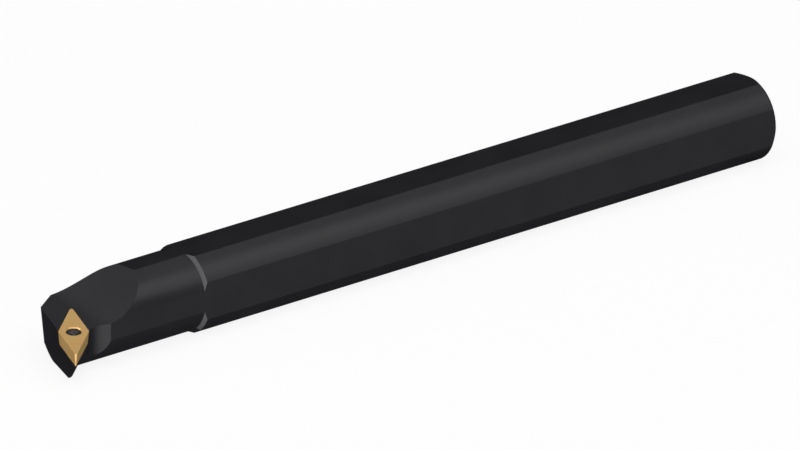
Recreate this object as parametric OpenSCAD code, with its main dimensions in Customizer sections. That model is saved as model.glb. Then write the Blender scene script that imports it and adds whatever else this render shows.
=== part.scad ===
// Boring bar with a screw-clamped 35 degree insert, in millimetres.
// The origin is the centre of the rear end face. +X runs along the bar to the cutting point,
// +Y is the side that the nose reaches out to, and +Z is the side that the insert's face looks to.

/* [Shank] */
// Length over all, from the rear end face to the cutting point
overall_l = 200; // [150:5:300]
// Diameter of the round shank
shank_d = 20; // [19.4:0.1:20.6]
// Distance from the bar's axis to each of the three clamping flats
flat_r = 9; // [8.6:0.1:9.2]
// Width of the 45 degree chamfer round the rear end
rear_chamfer = 1; // [0.4:0.1:2]

/* [Neck] */
// Distance from the cutting point back to the middle of the shoulder
neck_l = 40; // [32:1:60]
// Diameter of the turned neck, which the head keeps
neck_d = 18.6; // [18.4:0.1:19]

/* [Cutting point] */
// Distance from the bar's axis to the outermost point of the nose
nose_reach = 14.5; // [14.2:0.1:15.2]
// Angle from the feed direction to the main cutting edge
lead_angle = 107.5; // [106:0.5:109]
// Tilt of the face along the bar, down towards the front
axial_tilt = 4; // [2:0.5:5]
// Tilt of the face across the bar, down towards the nose
radial_tilt = 6.5; // [5:0.5:8]

/* [Head] */
// Depth of the head's face below the top of the insert
face_drop = 0.1; // [0.05:0.05:0.4]
// Relief of the head's front face, from square to the insert's top
front_relief = 6; // [5:0.5:8]
// Distance that the front face stands behind the main cutting edge
front_inset = 0.1; // [0.04:0.02:0.3]
// Distance from the cutting point back to where the scoop starts to rise
scoop_back = 11.9; // [11:0.1:14]
// Radius of the scoop where it leaves the face
scoop_r = 18; // [12:0.5:22]
// Slope of the ramp that carries the scoop up to the neck
ramp_angle = 35; // [30:1:45]
// Distance from the axis to where the corner facet meets the front face
facet_side = 5.9; // [5:0.1:7]
// Angle between the corner facet and the bar's axis
facet_angle = 30; // [25:1:40]

/* [Nose support] */
// Distance that the upright side wall stands behind the insert's trailing edge
side_inset = 0.45; // [0.44:0.02:0.6]
// Distance that the heel stands behind that edge where its relief starts
heel_inset = 0.3; // [0.28:0.02:0.4]
// Depth below the insert's top where the relief starts
heel_drop = 3.6; // [3.4:0.1:4]
// Angle of the relief from square to the insert's top
heel_angle = 21; // [18:1:24]
// Length of the relief before the heel rounds in
heel_flat = 3.6; // [2.8:0.2:4.4]
// Radius that rounds the heel in towards the underside
heel_r = 9.2; // [8:0.2:12]
// Radius of the chip gullet that the side wall ends in
gullet_r = 5.2; // [4.8:0.1:5.6]
// Distance from the bar's axis to the bottom of the gullet
gullet_floor = 7.7; // [7.4:0.1:8]

/* [Insert] */
// Diameter of the circle that touches the insert's four sides at the top
insert_ic = 6.35; // [6.3:0.01:6.45]
// Thickness of the insert
insert_t = 3.18; // [2.9:0.02:3.2]
// Angle of the insert's point
point_angle = 35; // [34:0.5:36]
// Relief of the insert's sides
insert_relief = 5; // [4:0.5:6]
// Radius of the rounded cutting point and of the corner behind it
nose_r = 0.4; // [0.2:0.1:0.6]
// Diameter of the straight part of the insert's hole
hole_d = 2.9; // [2.7:0.05:3]
// Diameter of the hole's countersink where it opens in the top
mouth_d = 3.75; // [3.6:0.05:4]
// Gap between the insert's back corner walls and the walls of its pocket
pocket_gap = 0.03; // [0.02:0.01:0.06]

/* [Insert screw] */
// Diameter of the screw's thread
screw_d = 2.5; // [2.3:0.05:2.6]
// Length of the screw over all
screw_l = 6; // [5:0.5:6.5]
// Diameter of the screw's countersunk head
head_d = 3.35; // [3.2:0.05:3.5]
// Angle that the countersink and the head's cone include
cone_angle = 60; // [50:5:70]
// Gap between the screw and what it passes through
screw_gap = 0.03; // [0.02:0.01:0.08]
// Distance across two opposite points of the six-lobe socket
socket_d = 2.3; // [2:0.1:2.4]
// Depth of the socket
socket_depth = 1; // [0.6:0.1:1.3]
// Length of the tapped hole past the end of the screw
tap_spare = 0.5; // [0.3:0.1:0.8]

/* [Hidden] */
$fn = 96;

shank_r = shank_d / 2;
neck_r = neck_d / 2;
shoulder_x = overall_l - neck_l;
shoulder_w = shank_r - neck_r;
// Reach of the cutting tools, longer than anything that they cut away
cutter = 3 * shank_d;

// The insert's plan is a rhombus, measured from its centre to its sharp corners
half_point = point_angle / 2;
long_half = insert_ic / 2 / sin(half_point);
nose_centre = long_half - nose_r / sin(half_point);
// Direction that the nose points in, from the bar's axis
nose_turn = 180 - lead_angle - half_point;
// Direction of the outward normal of each cutting edge, from the nose's direction
edge_turn = 90 - half_point;
side_slope = tan(insert_relief);

// The screw's head stops where its cone meets the countersink
cone_slope = tan(cone_angle / 2);
head_sink = ((mouth_d - head_d) / 2 - screw_gap / cos(cone_angle / 2)) / cone_slope;
head_h = (head_d - screw_d) / 2 / cone_slope;
tap_r = screw_d / 2 + screw_gap;
tap_depth = head_sink + screw_l + tap_spare;
drill_point = 118;
lobes = 6;
lobe_r = socket_d / 9;
socket_core_d = 0.74 * socket_d;
screw_tip = 0.3;

// Seen from above: the point where the two cutting edges would meet without the nose radius,
// the corner where the facet meets the front face, and the middle of the gullet
sharp_x = overall_l - nose_r + nose_r / sin(half_point) * cos(nose_turn);
sharp_y = nose_reach - nose_r + nose_r / sin(half_point) * sin(nose_turn);
corner_x = sharp_x - (sharp_y + facet_side) * tan(lead_angle - 90);
trail_turn = nose_turn - half_point;
gullet_y = gullet_floor + gullet_r;
gullet_x = sharp_x
    + (cos(trail_turn) * (gullet_y - sharp_y) - gullet_r + side_inset) / sin(trail_turn);

// Frame at the centre of the nose radius, tilted with the face and square to the bar seen from above
module at_face() {
    translate([overall_l - nose_r, nose_reach - nose_r, 0])
        rotate([-radial_tilt, axial_tilt, 0])
            children();
}

// Frame at the middle of the insert's top, +X towards the nose and +Z out of the face
module at_insert() {
    at_face() rotate([0, 0, nose_turn]) translate([-nose_centre, 0, 0]) children();
}

// Frame at the insert's sharp nose, +X square out of a cutting edge and +Y along it.
// side is -1 for the main edge and 1 for the trailing edge.
module at_edge(side) {
    at_insert() translate([long_half, 0, 0]) rotate([0, 0, side * edge_turn]) children();
}

// Everything on the +X side of the frame's origin
module beyond() {
    translate([0, -cutter, -cutter]) cube([cutter, 2 * cutter, 2 * cutter]);
}

// Slab between two of the insert's sides, its back wall moved out by gap.
// reach is the distance from the middle to the front wall.
module side_slab(turn, gap, reach, top) {
    back = -insert_ic / 2 - gap;
    rotate([0, 0, turn]) rotate([90, 0, 0])
        linear_extrude(height = cutter, center = true)
            polygon([
                [back - top * side_slope, top],
                [back + insert_t * side_slope, -insert_t],
                [reach - insert_t * side_slope, -insert_t],
                [reach + top * side_slope, top]
            ]);
}

// Cone of one rounded corner, grown by gap, from the insert's bottom to top
module corner_cone(gap, top) {
    r_top = nose_r + gap + top * side_slope;
    r_bottom = max(nose_r + gap - insert_t * side_slope, 0.02);
    translate([0, 0, -insert_t]) cylinder(h = insert_t + top, r1 = r_bottom, r2 = r_top);
}

// What the two rounded corners leave of the rhombus: a block that ends where the cones take over.
// front is the distance from the middle to the block's front end.
module corner_block(gap, front, top) {
    back_top = -nose_centre - (nose_r + gap + top * side_slope) * sin(half_point);
    back_bottom = -nose_centre - (nose_r + gap - insert_t * side_slope) * sin(half_point);
    front_lean = side_slope * sin(half_point);
    rotate([90, 0, 0])
        linear_extrude(height = cutter, center = true)
            polygon([
                [back_top, top],
                [back_bottom, -insert_t],
                [front - insert_t * front_lean, -insert_t],
                [front + top * front_lean, top]
            ]);
}

// Turned blank: shank, shoulder and neck, with the three flats
module blank() {
    intersection() {
        rotate([0, 90, 0]) rotate_extrude()
            polygon([
                [0, 0],
                [shank_r - rear_chamfer, 0],
                [shank_r, rear_chamfer],
                [shank_r, shoulder_x - shoulder_w / 2],
                [neck_r, shoulder_x + shoulder_w / 2],
                [neck_r, overall_l],
                [0, overall_l]
            ]);
        translate([0, -shank_d, -flat_r]) cube([overall_l, shank_d + flat_r, 2 * flat_r]);
    }
}

// Overhang that carries the insert, relieved and then rounded in to a heel below its trailing edge
module nose_support() {
    intersection() {
        at_edge(1) translate([-heel_inset, -cutter / 6, -heel_drop]) rotate([-90, 0, 0])
            linear_extrude(height = cutter / 2) rotate(heel_angle) {
                translate([-heel_r, heel_flat]) circle(r = heel_r);
                translate([-2 * heel_r, -shank_d]) square([2 * heel_r, shank_d + heel_flat]);
            }
        translate([overall_l - neck_l / 2, 0, -flat_r]) cube([neck_l, shank_d, 2 * flat_r]);
    }
}

// Face, concave scoop and ramp, cut across the whole head
module scoop() {
    at_face() translate([nose_r - scoop_back, 0, scoop_r - face_drop]) {
        translate([0, -cutter, -scoop_r]) cube([cutter, 2 * cutter, cutter]);
        rotate([90, 0, 0]) cylinder(h = 2 * cutter, r = scoop_r, center = true);
        rotate([0, ramp_angle, 0]) translate([-cutter, -cutter, -scoop_r])
            cube([cutter, 2 * cutter, cutter]);
    }
}

// Upright side cut: an end mill plunged at the gullet and drawn out past the nose
module side_cut() {
    translate([gullet_x, gullet_y, -shank_r]) linear_extrude(height = shank_d) {
        circle(r = gullet_r);
        rotate(trail_turn) translate([0, -gullet_r]) square([cutter, cutter]);
    }
}

// Pocket that the insert drops into: a floor and the two walls behind it
module pocket() {
    at_insert() intersection() {
        side_slab(-edge_turn, pocket_gap, cutter / 2, 1);
        side_slab(edge_turn, pocket_gap, cutter / 2, 1);
        union() {
            corner_block(pocket_gap, cutter / 2, 1);
            translate([-nose_centre, 0, 0]) corner_cone(pocket_gap, 1);
        }
    }
}

// Hole for the screw's thread, with the cone that the drill leaves
module tapped_hole() {
    at_insert() rotate([180, 0, 0]) {
        cylinder(h = tap_depth, r = tap_r);
        translate([0, 0, tap_depth])
            cylinder(h = tap_r / tan(drill_point / 2), r1 = tap_r, r2 = 0);
    }
}

// The bar: one piece of blackened steel
module bar() {
    color("#2b2b2d")
        difference() {
            union() {
                blank();
                nose_support();
            }
            at_edge(-1) translate([-front_inset, 0, 0]) rotate([0, front_relief, 0]) beyond();
            translate([corner_x, -facet_side, 0]) rotate([0, 0, facet_angle - 90]) beyond();
            side_cut();
            scoop();
            pocket();
            tapped_hole();
        }
}

// The insert: gold coated carbide, flat on top, with relieved sides and a countersunk hole
module insert() {
    color("#b2945f")
        at_insert() difference() {
            intersection() {
                side_slab(-edge_turn, 0, insert_ic / 2, 0);
                side_slab(edge_turn, 0, insert_ic / 2, 0);
                union() {
                    corner_block(0, nose_centre + nose_r * sin(half_point), 0);
                    translate([-nose_centre, 0, 0]) corner_cone(0, 0);
                    translate([nose_centre, 0, 0]) corner_cone(0, 0);
                }
            }
            translate([0, 0, -2 * insert_t]) cylinder(h = 3 * insert_t, d = hole_d);
            rotate([180, 0, 0])
                cylinder(h = mouth_d / 2 / cone_slope, r1 = mouth_d / 2, r2 = 0);
        }
}

// The screw: countersunk head with a six-lobe socket, and the thread as a plain shank
module insert_screw() {
    color("#35353a")
        at_insert() translate([0, 0, -head_sink]) difference() {
            rotate([180, 0, 0]) rotate_extrude()
                polygon([
                    [0, 0],
                    [head_d / 2, 0],
                    [screw_d / 2, head_h],
                    [screw_d / 2, screw_l - screw_tip],
                    [screw_d / 2 - screw_tip, screw_l],
                    [0, screw_l]
                ]);
            translate([0, 0, -socket_depth]) linear_extrude(height = 2 * socket_depth) {
                circle(d = socket_core_d);
                for (i = [0 : lobes - 1])
                    rotate(i * 360 / lobes) {
                        translate([socket_d / 2 - lobe_r, 0]) circle(r = lobe_r);
                        translate([0, -lobe_r]) square([socket_d / 2 - lobe_r, 2 * lobe_r]);
                    }
            }
        }
}

bar();
insert();
insert_screw();
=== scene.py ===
import math

import bpy
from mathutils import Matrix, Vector


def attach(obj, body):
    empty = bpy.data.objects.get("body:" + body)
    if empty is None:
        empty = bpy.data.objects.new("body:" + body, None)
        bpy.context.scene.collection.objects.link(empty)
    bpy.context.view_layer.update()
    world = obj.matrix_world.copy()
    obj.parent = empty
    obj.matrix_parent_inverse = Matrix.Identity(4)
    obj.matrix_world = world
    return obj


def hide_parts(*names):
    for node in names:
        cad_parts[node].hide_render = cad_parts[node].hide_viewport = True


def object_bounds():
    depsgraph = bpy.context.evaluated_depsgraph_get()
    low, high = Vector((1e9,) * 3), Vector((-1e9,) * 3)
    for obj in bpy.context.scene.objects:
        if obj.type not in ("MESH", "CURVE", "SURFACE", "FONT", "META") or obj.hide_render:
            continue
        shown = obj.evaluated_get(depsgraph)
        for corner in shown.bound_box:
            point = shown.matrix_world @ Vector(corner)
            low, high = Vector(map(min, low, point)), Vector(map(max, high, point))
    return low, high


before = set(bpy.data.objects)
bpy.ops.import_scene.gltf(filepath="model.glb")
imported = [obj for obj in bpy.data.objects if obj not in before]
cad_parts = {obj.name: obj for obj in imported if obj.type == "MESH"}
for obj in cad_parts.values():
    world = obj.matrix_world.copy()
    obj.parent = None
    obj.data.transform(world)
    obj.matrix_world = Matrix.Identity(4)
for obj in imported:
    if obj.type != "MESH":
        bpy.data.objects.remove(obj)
cad_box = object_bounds()
bpy.ops.object.select_all(action="DESELECT")

# Camera
# The photograph is a parallel view from the nose side, a little above the bar. A camera
# a long way off with a long lens gives nearly that view, with both ends about the same size.
VIEW_TURN = math.radians(141.4)
VIEW_RISE = math.radians(22.53)
# The middle of the view and its width there, in metres
VIEW_MIDDLE = Vector((0.11756, 0.02308, 0.01149))
VIEW_WIDTH = 0.17353
LENS, SENSOR = 900, 36
towards_camera = Vector((
    math.sin(VIEW_TURN) * math.cos(VIEW_RISE),
    -math.cos(VIEW_TURN) * math.cos(VIEW_RISE),
    math.sin(VIEW_RISE),
))
camera_distance = VIEW_WIDTH * LENS / SENSOR
bpy.ops.object.camera_add(location=VIEW_MIDDLE + towards_camera * camera_distance)
camera = bpy.context.object
camera.name = "camera"
camera.rotation_mode = "QUATERNION"
camera.rotation_quaternion = (-towards_camera).to_track_quat("-Z", "Y")
camera.data.lens = LENS
camera.data.sensor_width = SENSOR
camera.data.clip_end = 3 * camera_distance
bpy.context.scene.camera = camera

# Bar
# One piece of alloy steel, turned, milled and then blackened in a hot oxide bath. The oxide
# is a thin dark skin: it keeps the tool marks and the satin gloss of the steel under it.
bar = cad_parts["bar"]
MM = 0.001
CLOUD_SIZE, GRAIN_SIZE = 9 * MM, 0.25 * MM
MARK_SPACING, MARK_WEIGHT = 0.4 * MM, 0.6
SHOULDER_X, SHOULDER_REACH = 160 * MM, 0.45 * MM
# The least that the shoulder's faces look along each axis to get the painted highlight
HIGHLIGHT_FACING = {"X": 0.5, "Y": 0.2, "Z": -0.54}


def linear(colour):
    """An sRGB hex colour as linear RGBA."""
    parts = [int(colour[i:i + 2], 16) / 255 for i in (1, 3, 5)]
    return [c / 12.92 if c <= 0.04045 else ((c + 0.055) / 1.055) ** 2.4 for c in parts] + [1]


def set_inputs(node, inputs):
    """Gives each socket, by name or number, its value or the link to the socket it comes from."""
    for socket, value in inputs.items():
        if isinstance(value, bpy.types.NodeSocket):
            node.id_data.links.new(value, node.inputs[socket])
        else:
            node.inputs[socket].default_value = value


def add_node(material, kind, inputs=None, **settings):
    """Adds a node to a material, or to the room, with its settings, its values and its links."""
    node = material.node_tree.nodes.new(kind)
    for name, value in settings.items():
        setattr(node, name, value)
    set_inputs(node, inputs or {})
    return node


def new_material(name):
    """An empty node material and its Principled shader, already joined to the output."""
    material = bpy.data.materials.new(name)
    material.use_nodes = True
    return material, material.node_tree.nodes["Principled BSDF"]


# Black oxide steel: near black, satin, with faint cloudy patches from the bath and fine
# turning marks round the axis. The real marks are 0.1 mm apart. They are drawn here at
# 0.4 mm, and a grain of 0.25 mm breaks them up. A wave texture of scale 1 has its bands
# pi / 10 apart.
black_oxide, shader = new_material("black_oxide_steel")
place = add_node(black_oxide, "ShaderNodeTexCoord").outputs["Object"]
clouds = add_node(black_oxide, "ShaderNodeTexNoise",
                  {"Vector": place, "Scale": 1 / CLOUD_SIZE, "Detail": 4.0, "Roughness": 0.6})
grain = add_node(black_oxide, "ShaderNodeTexNoise",
                 {"Vector": place, "Scale": 1 / GRAIN_SIZE, "Detail": 2.0})
marks = add_node(black_oxide, "ShaderNodeTexWave",
                 {"Vector": place, "Scale": math.pi / 10 / MARK_SPACING, "Distortion": 1.5,
                  "Detail": 2.0, "Detail Scale": 0.5},
                 wave_type="BANDS", bands_direction="X")
colour = add_node(black_oxide, "ShaderNodeValToRGB", {"Fac": clouds.outputs["Fac"]})
colour.color_ramp.elements[0].position = 0.3
colour.color_ramp.elements[0].color = linear("#1d1d20")
colour.color_ramp.elements[1].position = 0.7
colour.color_ramp.elements[1].color = linear("#212125")
# The cone between shank and neck is painted paler on the nose side, from the top flat down to
# just over the underside: a painted highlight on the faces that turn toward the light, not a
# thinner oxide. The faces are picked by their place along the bar and by the least that they look along
# each axis.
surface = add_node(black_oxide, "ShaderNodeNewGeometry").outputs["Normal"]
along = add_node(black_oxide, "ShaderNodeSeparateXYZ", {"Vector": place}).outputs["X"]
facing = add_node(black_oxide, "ShaderNodeSeparateXYZ", {"Vector": surface})
shoulder_highlight = add_node(black_oxide, "ShaderNodeMath",
                       {0: along, 1: SHOULDER_X, 2: SHOULDER_REACH}, operation="COMPARE")
for side, least in HIGHLIGHT_FACING.items():
    turned_to = add_node(black_oxide, "ShaderNodeMath", {0: facing.outputs[side], 1: least},
                         operation="GREATER_THAN")
    shoulder_highlight = add_node(black_oxide, "ShaderNodeMath",
                           {0: shoulder_highlight.outputs[0], 1: turned_to.outputs[0]}, operation="MULTIPLY")
# The painted highlight's pale grey is mixed into the oxide colour on those faces
oxide_and_highlight = add_node(black_oxide, "ShaderNodeMix",
                        {"Factor": shoulder_highlight.outputs[0], "A": colour.outputs["Color"],
                         "B": linear("#535355")}, data_type="RGBA")
gloss = add_node(black_oxide, "ShaderNodeMapRange",
                 {"Value": clouds.outputs["Fac"], "To Min": 0.31, "To Max": 0.39})
relief = add_node(black_oxide, "ShaderNodeMath",
                  {0: marks.outputs["Fac"], 1: MARK_WEIGHT, 2: grain.outputs["Fac"]},
                  operation="MULTIPLY_ADD")
bump = add_node(black_oxide, "ShaderNodeBump",
                {"Height": relief.outputs[0], "Strength": 0.12, "Distance": 0.02 * MM})
set_inputs(shader, {"Base Color": oxide_and_highlight.outputs["Result"],
                    "Roughness": gloss.outputs["Result"], "Normal": bump.outputs["Normal"]})
bar.data.materials.clear()
bar.data.materials.append(black_oxide)

# Insert
# Cemented carbide, pressed and sintered, with its sides ground and a gold coating laid on
# in a vacuum. It drops into its pocket and the screw pulls it against the two back walls.
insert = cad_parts["insert"]
INSERT_AXIS = Vector((0.0693, 0.1132, 0.9912))
HOLE_MOUTH, MOUTH_R = Vector((194.3795, 6.5892, 1.2229)) * MM, 1.874 * MM
POINT_CENTRE, POINT_R = Vector((199.6, 14.1, 0)) * MM, 0.41 * MM
POINT_DIRECTION = Vector((0.5657, 0.8139, -0.1325))
TOP_SKIN = 0.01 * MM
PATCH_SIZE, SINTER_SIZE = 2.5 * MM, 0.12 * MM
# The gold's metallic share on the flat faces, and where the painted highlight lies
FACE_METALLIC, HIGHLIGHT_METALLIC = 0.6, 0.1


def near_axis(material, place, centre, reach):
    """1 where a place is within reach of the line through centre along the insert's axis, else 0."""
    offset = add_node(material, "ShaderNodeVectorMath", {0: place, 1: centre}, operation="SUBTRACT")
    sideways = add_node(material, "ShaderNodeVectorMath", {0: offset.outputs["Vector"], 1: INSERT_AXIS},
                        operation="CROSS_PRODUCT")
    distance = add_node(material, "ShaderNodeVectorMath", {0: sideways.outputs["Vector"]},
                        operation="LENGTH")
    near = add_node(material, "ShaderNodeMath", {0: distance.outputs["Value"], 1: reach},
                    operation="LESS_THAN")
    return near.outputs[0]


def height_over(material, place, centre):
    """How far a place is over centre, measured along the insert's axis."""
    offset = add_node(material, "ShaderNodeVectorMath", {0: place, 1: centre}, operation="SUBTRACT")
    height = add_node(material, "ShaderNodeVectorMath", {0: offset.outputs["Vector"], 1: INSERT_AXIS},
                      operation="DOT_PRODUCT")
    return height.outputs["Value"]


# Titanium nitride: a metal-like gold skin, satin, with the sinter's fine grain under it.
# The real grain is a few thousandths of a millimetre, drawn here at 0.12 mm.
nitride, shader = new_material("titanium_nitride_coating")
place = add_node(nitride, "ShaderNodeTexCoord").outputs["Object"]
patches = add_node(nitride, "ShaderNodeTexNoise",
                   {"Vector": place, "Scale": 1 / PATCH_SIZE, "Detail": 3.0})
sinter = add_node(nitride, "ShaderNodeTexNoise",
                  {"Vector": place, "Scale": 1 / SINTER_SIZE, "Detail": 2.0})
gold = add_node(nitride, "ShaderNodeValToRGB", {"Fac": patches.outputs["Fac"]})
gold.color_ramp.elements[0].position = 0.3
gold.color_ramp.elements[0].color = linear("#fbca80")
gold.color_ramp.elements[1].position = 0.7
gold.color_ramp.elements[1].color = linear("#ffd188")
gloss = add_node(nitride, "ShaderNodeMapRange",
                 {"Value": sinter.outputs["Fac"], "To Min": 0.28, "To Max": 0.36})
bump = add_node(nitride, "ShaderNodeBump",
                {"Height": sinter.outputs["Fac"], "Strength": 0.08, "Distance": 0.01 * MM})
# The rounded point and the hole's mouth are drawn brighter than the flat faces, most where
# they turn the way the point does: a painted highlight, not a honed or blasted finish. The
# gold's metallic share is lowered there, from just under the top face down, so that its base
# colour shows brighter. That is a guess which matches the brightness.
in_mouth = near_axis(nitride, place, HOLE_MOUTH, MOUTH_R)
on_point = near_axis(nitride, place, POINT_CENTRE, POINT_R)
point_highlight = add_node(nitride, "ShaderNodeMath", {0: in_mouth, 1: on_point}, operation="MAXIMUM")
height = height_over(nitride, place, POINT_CENTRE)
below_top = add_node(nitride, "ShaderNodeMath", {0: height, 1: -TOP_SKIN}, operation="LESS_THAN")
surface = add_node(nitride, "ShaderNodeNewGeometry").outputs["Normal"]
alignment = add_node(nitride, "ShaderNodeVectorMath", {0: surface, 1: POINT_DIRECTION},
                     operation="DOT_PRODUCT")
turned = add_node(nitride, "ShaderNodeMapRange",
                  {"Value": alignment.outputs["Value"], "From Min": 0.6, "From Max": 0.9})
for limit in (below_top.outputs[0], turned.outputs["Result"]):
    point_highlight = add_node(nitride, "ShaderNodeMath", {0: point_highlight.outputs[0], 1: limit}, operation="MULTIPLY")
metallic = add_node(nitride, "ShaderNodeMapRange",
                    {"Value": point_highlight.outputs[0], "To Min": FACE_METALLIC, "To Max": HIGHLIGHT_METALLIC})
set_inputs(shader, {"Base Color": gold.outputs["Color"], "Metallic": metallic.outputs["Result"],
                    "Roughness": gloss.outputs["Result"], "Normal": bump.outputs["Normal"]})
insert.data.materials.clear()
insert.data.materials.append(nitride)

# Insert screw
# Hardened steel, cold headed with a six-lobe socket, its thread rolled, then blackened.
# It passes through the insert's countersunk hole into the tapped hole under the pocket.
HEAD_TOP = Vector((194.3596, 6.5568, 0.9390)) * MM
HEAD_TILT = (math.radians(-6.5), math.radians(4), 0)
THREAD_PITCH, THREAD_TURNS = 0.45 * MM, 8
CREST_R, ROOT_R = 1.25 * MM, 0.97 * MM
PLAIN_LENGTH, COVER_R = 2.7 * MM, 3 * MM
RING_CORNERS, STEPS_PER_TURN = 32, 24
WELD_DISTANCE = 0.001 * MM
SOCKET_R, SOCKET_TOP, SOCKET_FLOOR = 1.2 * MM, 0.04 * MM, 1.14 * MM
BLOTCH_SIZE = 0.6 * MM

# The thread is a round rod, off its axis by half the thread's depth, wound down the screw
rod_end = -PLAIN_LENGTH - THREAD_PITCH * THREAD_TURNS
bpy.ops.mesh.primitive_circle_add(vertices=RING_CORNERS, radius=(CREST_R + ROOT_R) / 2,
                                  location=((CREST_R - ROOT_R) / 2, 0, rod_end))
thread = bpy.context.object
bpy.ops.object.transform_apply(location=True)
winding = thread.modifiers.new("winding", "SCREW")
winding.angle = math.tau * THREAD_TURNS
winding.screw_offset = THREAD_PITCH * THREAD_TURNS
winding.steps = winding.render_steps = STEPS_PER_TURN * THREAD_TURNS
bpy.ops.object.modifier_apply(modifier="winding")
bpy.ops.object.mode_set(mode="EDIT")
bpy.ops.mesh.select_all(action="SELECT")
bpy.ops.mesh.fill_holes(sides=0)
bpy.ops.mesh.normals_make_consistent(inside=False)
bpy.ops.object.mode_set(mode="OBJECT")

# A block wider than the head covers the head and the plain part, which stay as they are
bpy.ops.mesh.primitive_cylinder_add(vertices=RING_CORNERS, radius=COVER_R, depth=2 * PLAIN_LENGTH)
plain_part = bpy.context.object
joined = thread.modifiers.new("joined", "BOOLEAN")
joined.operation = "UNION"
joined.object = plain_part
bpy.context.view_layer.objects.active = thread
bpy.ops.object.modifier_apply(modifier="joined")
thread.location = HEAD_TOP
thread.rotation_euler = HEAD_TILT
bpy.ops.object.select_all(action="DESELECT")
thread.select_set(True)
bpy.ops.object.transform_apply()

# The screw itself keeps what its plain solid and the thread have in common
bpy.ops.object.select_all(action="DESELECT")
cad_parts["insert_screw"].select_set(True)
bpy.context.view_layer.objects.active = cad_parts["insert_screw"]
bpy.ops.object.duplicate()
threaded_screw = bpy.context.object
threaded_screw.name = "threaded_screw"
bpy.ops.mesh.customdata_custom_splitnormals_clear()
bpy.ops.object.mode_set(mode="EDIT")
bpy.ops.mesh.select_all(action="SELECT")
bpy.ops.mesh.remove_doubles(threshold=WELD_DISTANCE)
bpy.ops.object.mode_set(mode="OBJECT")
common = threaded_screw.modifiers.new("common", "BOOLEAN")
common.operation = "INTERSECT"
common.object = thread
bpy.ops.object.modifier_apply(modifier="common")
bpy.ops.object.select_all(action="DESELECT")
thread.select_set(True)
plain_part.select_set(True)
bpy.ops.object.delete()
bpy.context.view_layer.objects.active = threaded_screw
threaded_screw.select_set(True)
bpy.ops.object.shade_smooth_by_angle(angle=math.radians(35))

# Black oxide on a small cold-headed part: darker than the bar, and a little blotchy
screw_oxide, shader = new_material("black_oxide_screw_steel")
place = add_node(screw_oxide, "ShaderNodeTexCoord").outputs["Object"]
blotches = add_node(screw_oxide, "ShaderNodeTexNoise",
                    {"Vector": place, "Scale": 1 / BLOTCH_SIZE, "Detail": 3.0})
colour = add_node(screw_oxide, "ShaderNodeValToRGB", {"Fac": blotches.outputs["Fac"]})
colour.color_ramp.elements[0].position = 0.3
colour.color_ramp.elements[0].color = linear("#17171a")
colour.color_ramp.elements[1].position = 0.7
colour.color_ramp.elements[1].color = linear("#202024")
# The socket's walls and floor are painted a paler steel: painted light that lifts them
# against the shade that falls in the recess, not steel that the driver has rubbed bright.
near_middle = near_axis(screw_oxide, place, HEAD_TOP, SOCKET_R)
height = height_over(screw_oxide, place, HEAD_TOP)
in_depth = add_node(screw_oxide, "ShaderNodeMath",
                    {0: height, 1: -(SOCKET_TOP + SOCKET_FLOOR) / 2, 2: (SOCKET_FLOOR - SOCKET_TOP) / 2},
                    operation="COMPARE")
socket_painted_light = add_node(screw_oxide, "ShaderNodeMath", {0: near_middle, 1: in_depth.outputs[0]},
                  operation="MULTIPLY")
# The painted light's paler steel is mixed in over the socket
screw_colour = add_node(screw_oxide, "ShaderNodeMix",
                        {"Factor": socket_painted_light.outputs[0], "A": colour.outputs["Color"],
                         "B": linear("#747476")}, data_type="RGBA")
gloss = add_node(screw_oxide, "ShaderNodeMapRange",
                 {"Value": blotches.outputs["Fac"], "To Min": 0.3, "To Max": 0.42})
bump = add_node(screw_oxide, "ShaderNodeBump",
                {"Height": blotches.outputs["Fac"], "Strength": 0.1, "Distance": 0.01 * MM})
set_inputs(shader, {"Base Color": screw_colour.outputs["Result"],
                    "Roughness": gloss.outputs["Result"], "Normal": bump.outputs["Normal"]})
threaded_screw.data.materials.clear()
threaded_screw.data.materials.append(screw_oxide)
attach(threaded_screw, "root")
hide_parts("insert_screw")

# Floor
# A plain white light table, glowing softly from below so that the bar's shadow stays faint,
# and wide enough to fill the view from any side. It lies a hair below the bar, so that the
# two surfaces aren't in the same place.
FLOOR_SIZE, FLOOR_GAP = 30, 0.02 * MM
bpy.ops.mesh.primitive_plane_add(size=FLOOR_SIZE, location=(0, 0, cad_box[0].z - FLOOR_GAP))
floor = bpy.context.object
floor.name = "floor"
table_top, shader = new_material("white_light_table")
set_inputs(shader, {"Base Color": linear("#626262"), "Roughness": 0.9, "Specular IOR Level": 0,
                    "Emission Color": (1, 1, 1, 1), "Emission Strength": 0.88})
floor.data.materials.append(table_top)
floor.visible_glossy = False

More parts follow.
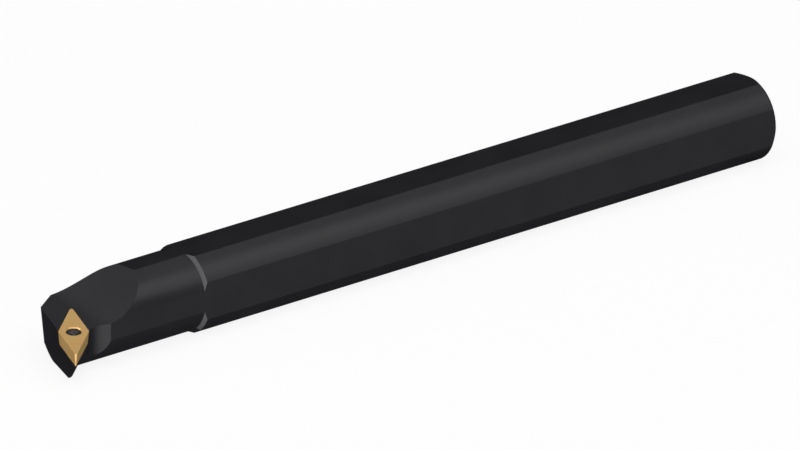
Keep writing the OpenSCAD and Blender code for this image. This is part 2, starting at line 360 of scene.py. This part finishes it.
# Studio light
# A wide soft fill stands low by the camera, a key softbox at the upper right draws the line
# along the shank, an overhead one lights the top and a front one the relieved faces of the
# head. A last one whitens the table and isn't seen in reflections.
def direction(turn, rise):
    """The direction at a turn from +X toward +Y and a rise over the table, in degrees."""
    turn, rise = math.radians(turn), math.radians(rise)
    return Vector((math.cos(turn) * math.cos(rise), math.sin(turn) * math.cos(rise), math.sin(rise)))


room = bpy.data.worlds.new("studio_room")
room.use_nodes = True
bpy.context.scene.world = room
# The fill is strongest in its own direction and fades out where the cosine of the angle from
# that is FILL_EDGE. The camera itself sees plain white beyond the table.
FILL_FROM, FILL_STRENGTH, FILL_EDGE = direction(59, -15), 1.17, 0.25
sky = add_node(room, "ShaderNodeTexCoord").outputs["Generated"]
towards_fill = add_node(room, "ShaderNodeVectorMath", {0: sky, 1: FILL_FROM}, operation="DOT_PRODUCT")
fill = add_node(room, "ShaderNodeMapRange",
                {"Value": towards_fill.outputs["Value"], "From Min": FILL_EDGE, "To Max": FILL_STRENGTH},
                interpolation_type="SMOOTHSTEP")
seen = add_node(room, "ShaderNodeLightPath").outputs["Is Camera Ray"]
strength = add_node(room, "ShaderNodeMix", {"Factor": seen, "A": fill.outputs["Result"], "B": 1.0})
set_inputs(room.node_tree.nodes["Background"],
           {"Color": (1, 1, 1, 1), "Strength": strength.outputs["Result"]})
# Turn and rise in degrees, distance and width in metres, and radiance
SOFTBOXES = {
    "key": (120, 44, 3, 2.3, 1.2),
    "overhead": (330, 84, 3, 7.4, 0.45),
    "front": (-18, 8, 3, 2.6, 2.1),
    "table_light": (60, 70, 3, 3, 1.9),
}
middle = (cad_box[0] + cad_box[1]) / 2
for name, (turn, rise, distance, width, radiance) in SOFTBOXES.items():
    toward = direction(turn, rise)
    bpy.ops.object.light_add(type="AREA", location=middle + toward * distance)
    softbox = bpy.context.object
    softbox.name = name
    softbox.rotation_euler = (-toward).to_track_quat("-Z", "Y").to_euler()
    softbox.data.shape = "DISK"
    softbox.data.size = width
    area = math.pi * (width / 2) ** 2
    softbox.data.energy = radiance * math.pi * area
    softbox.visible_glossy = name != "table_light"
bpy.context.scene.view_settings.view_transform = "Standard"
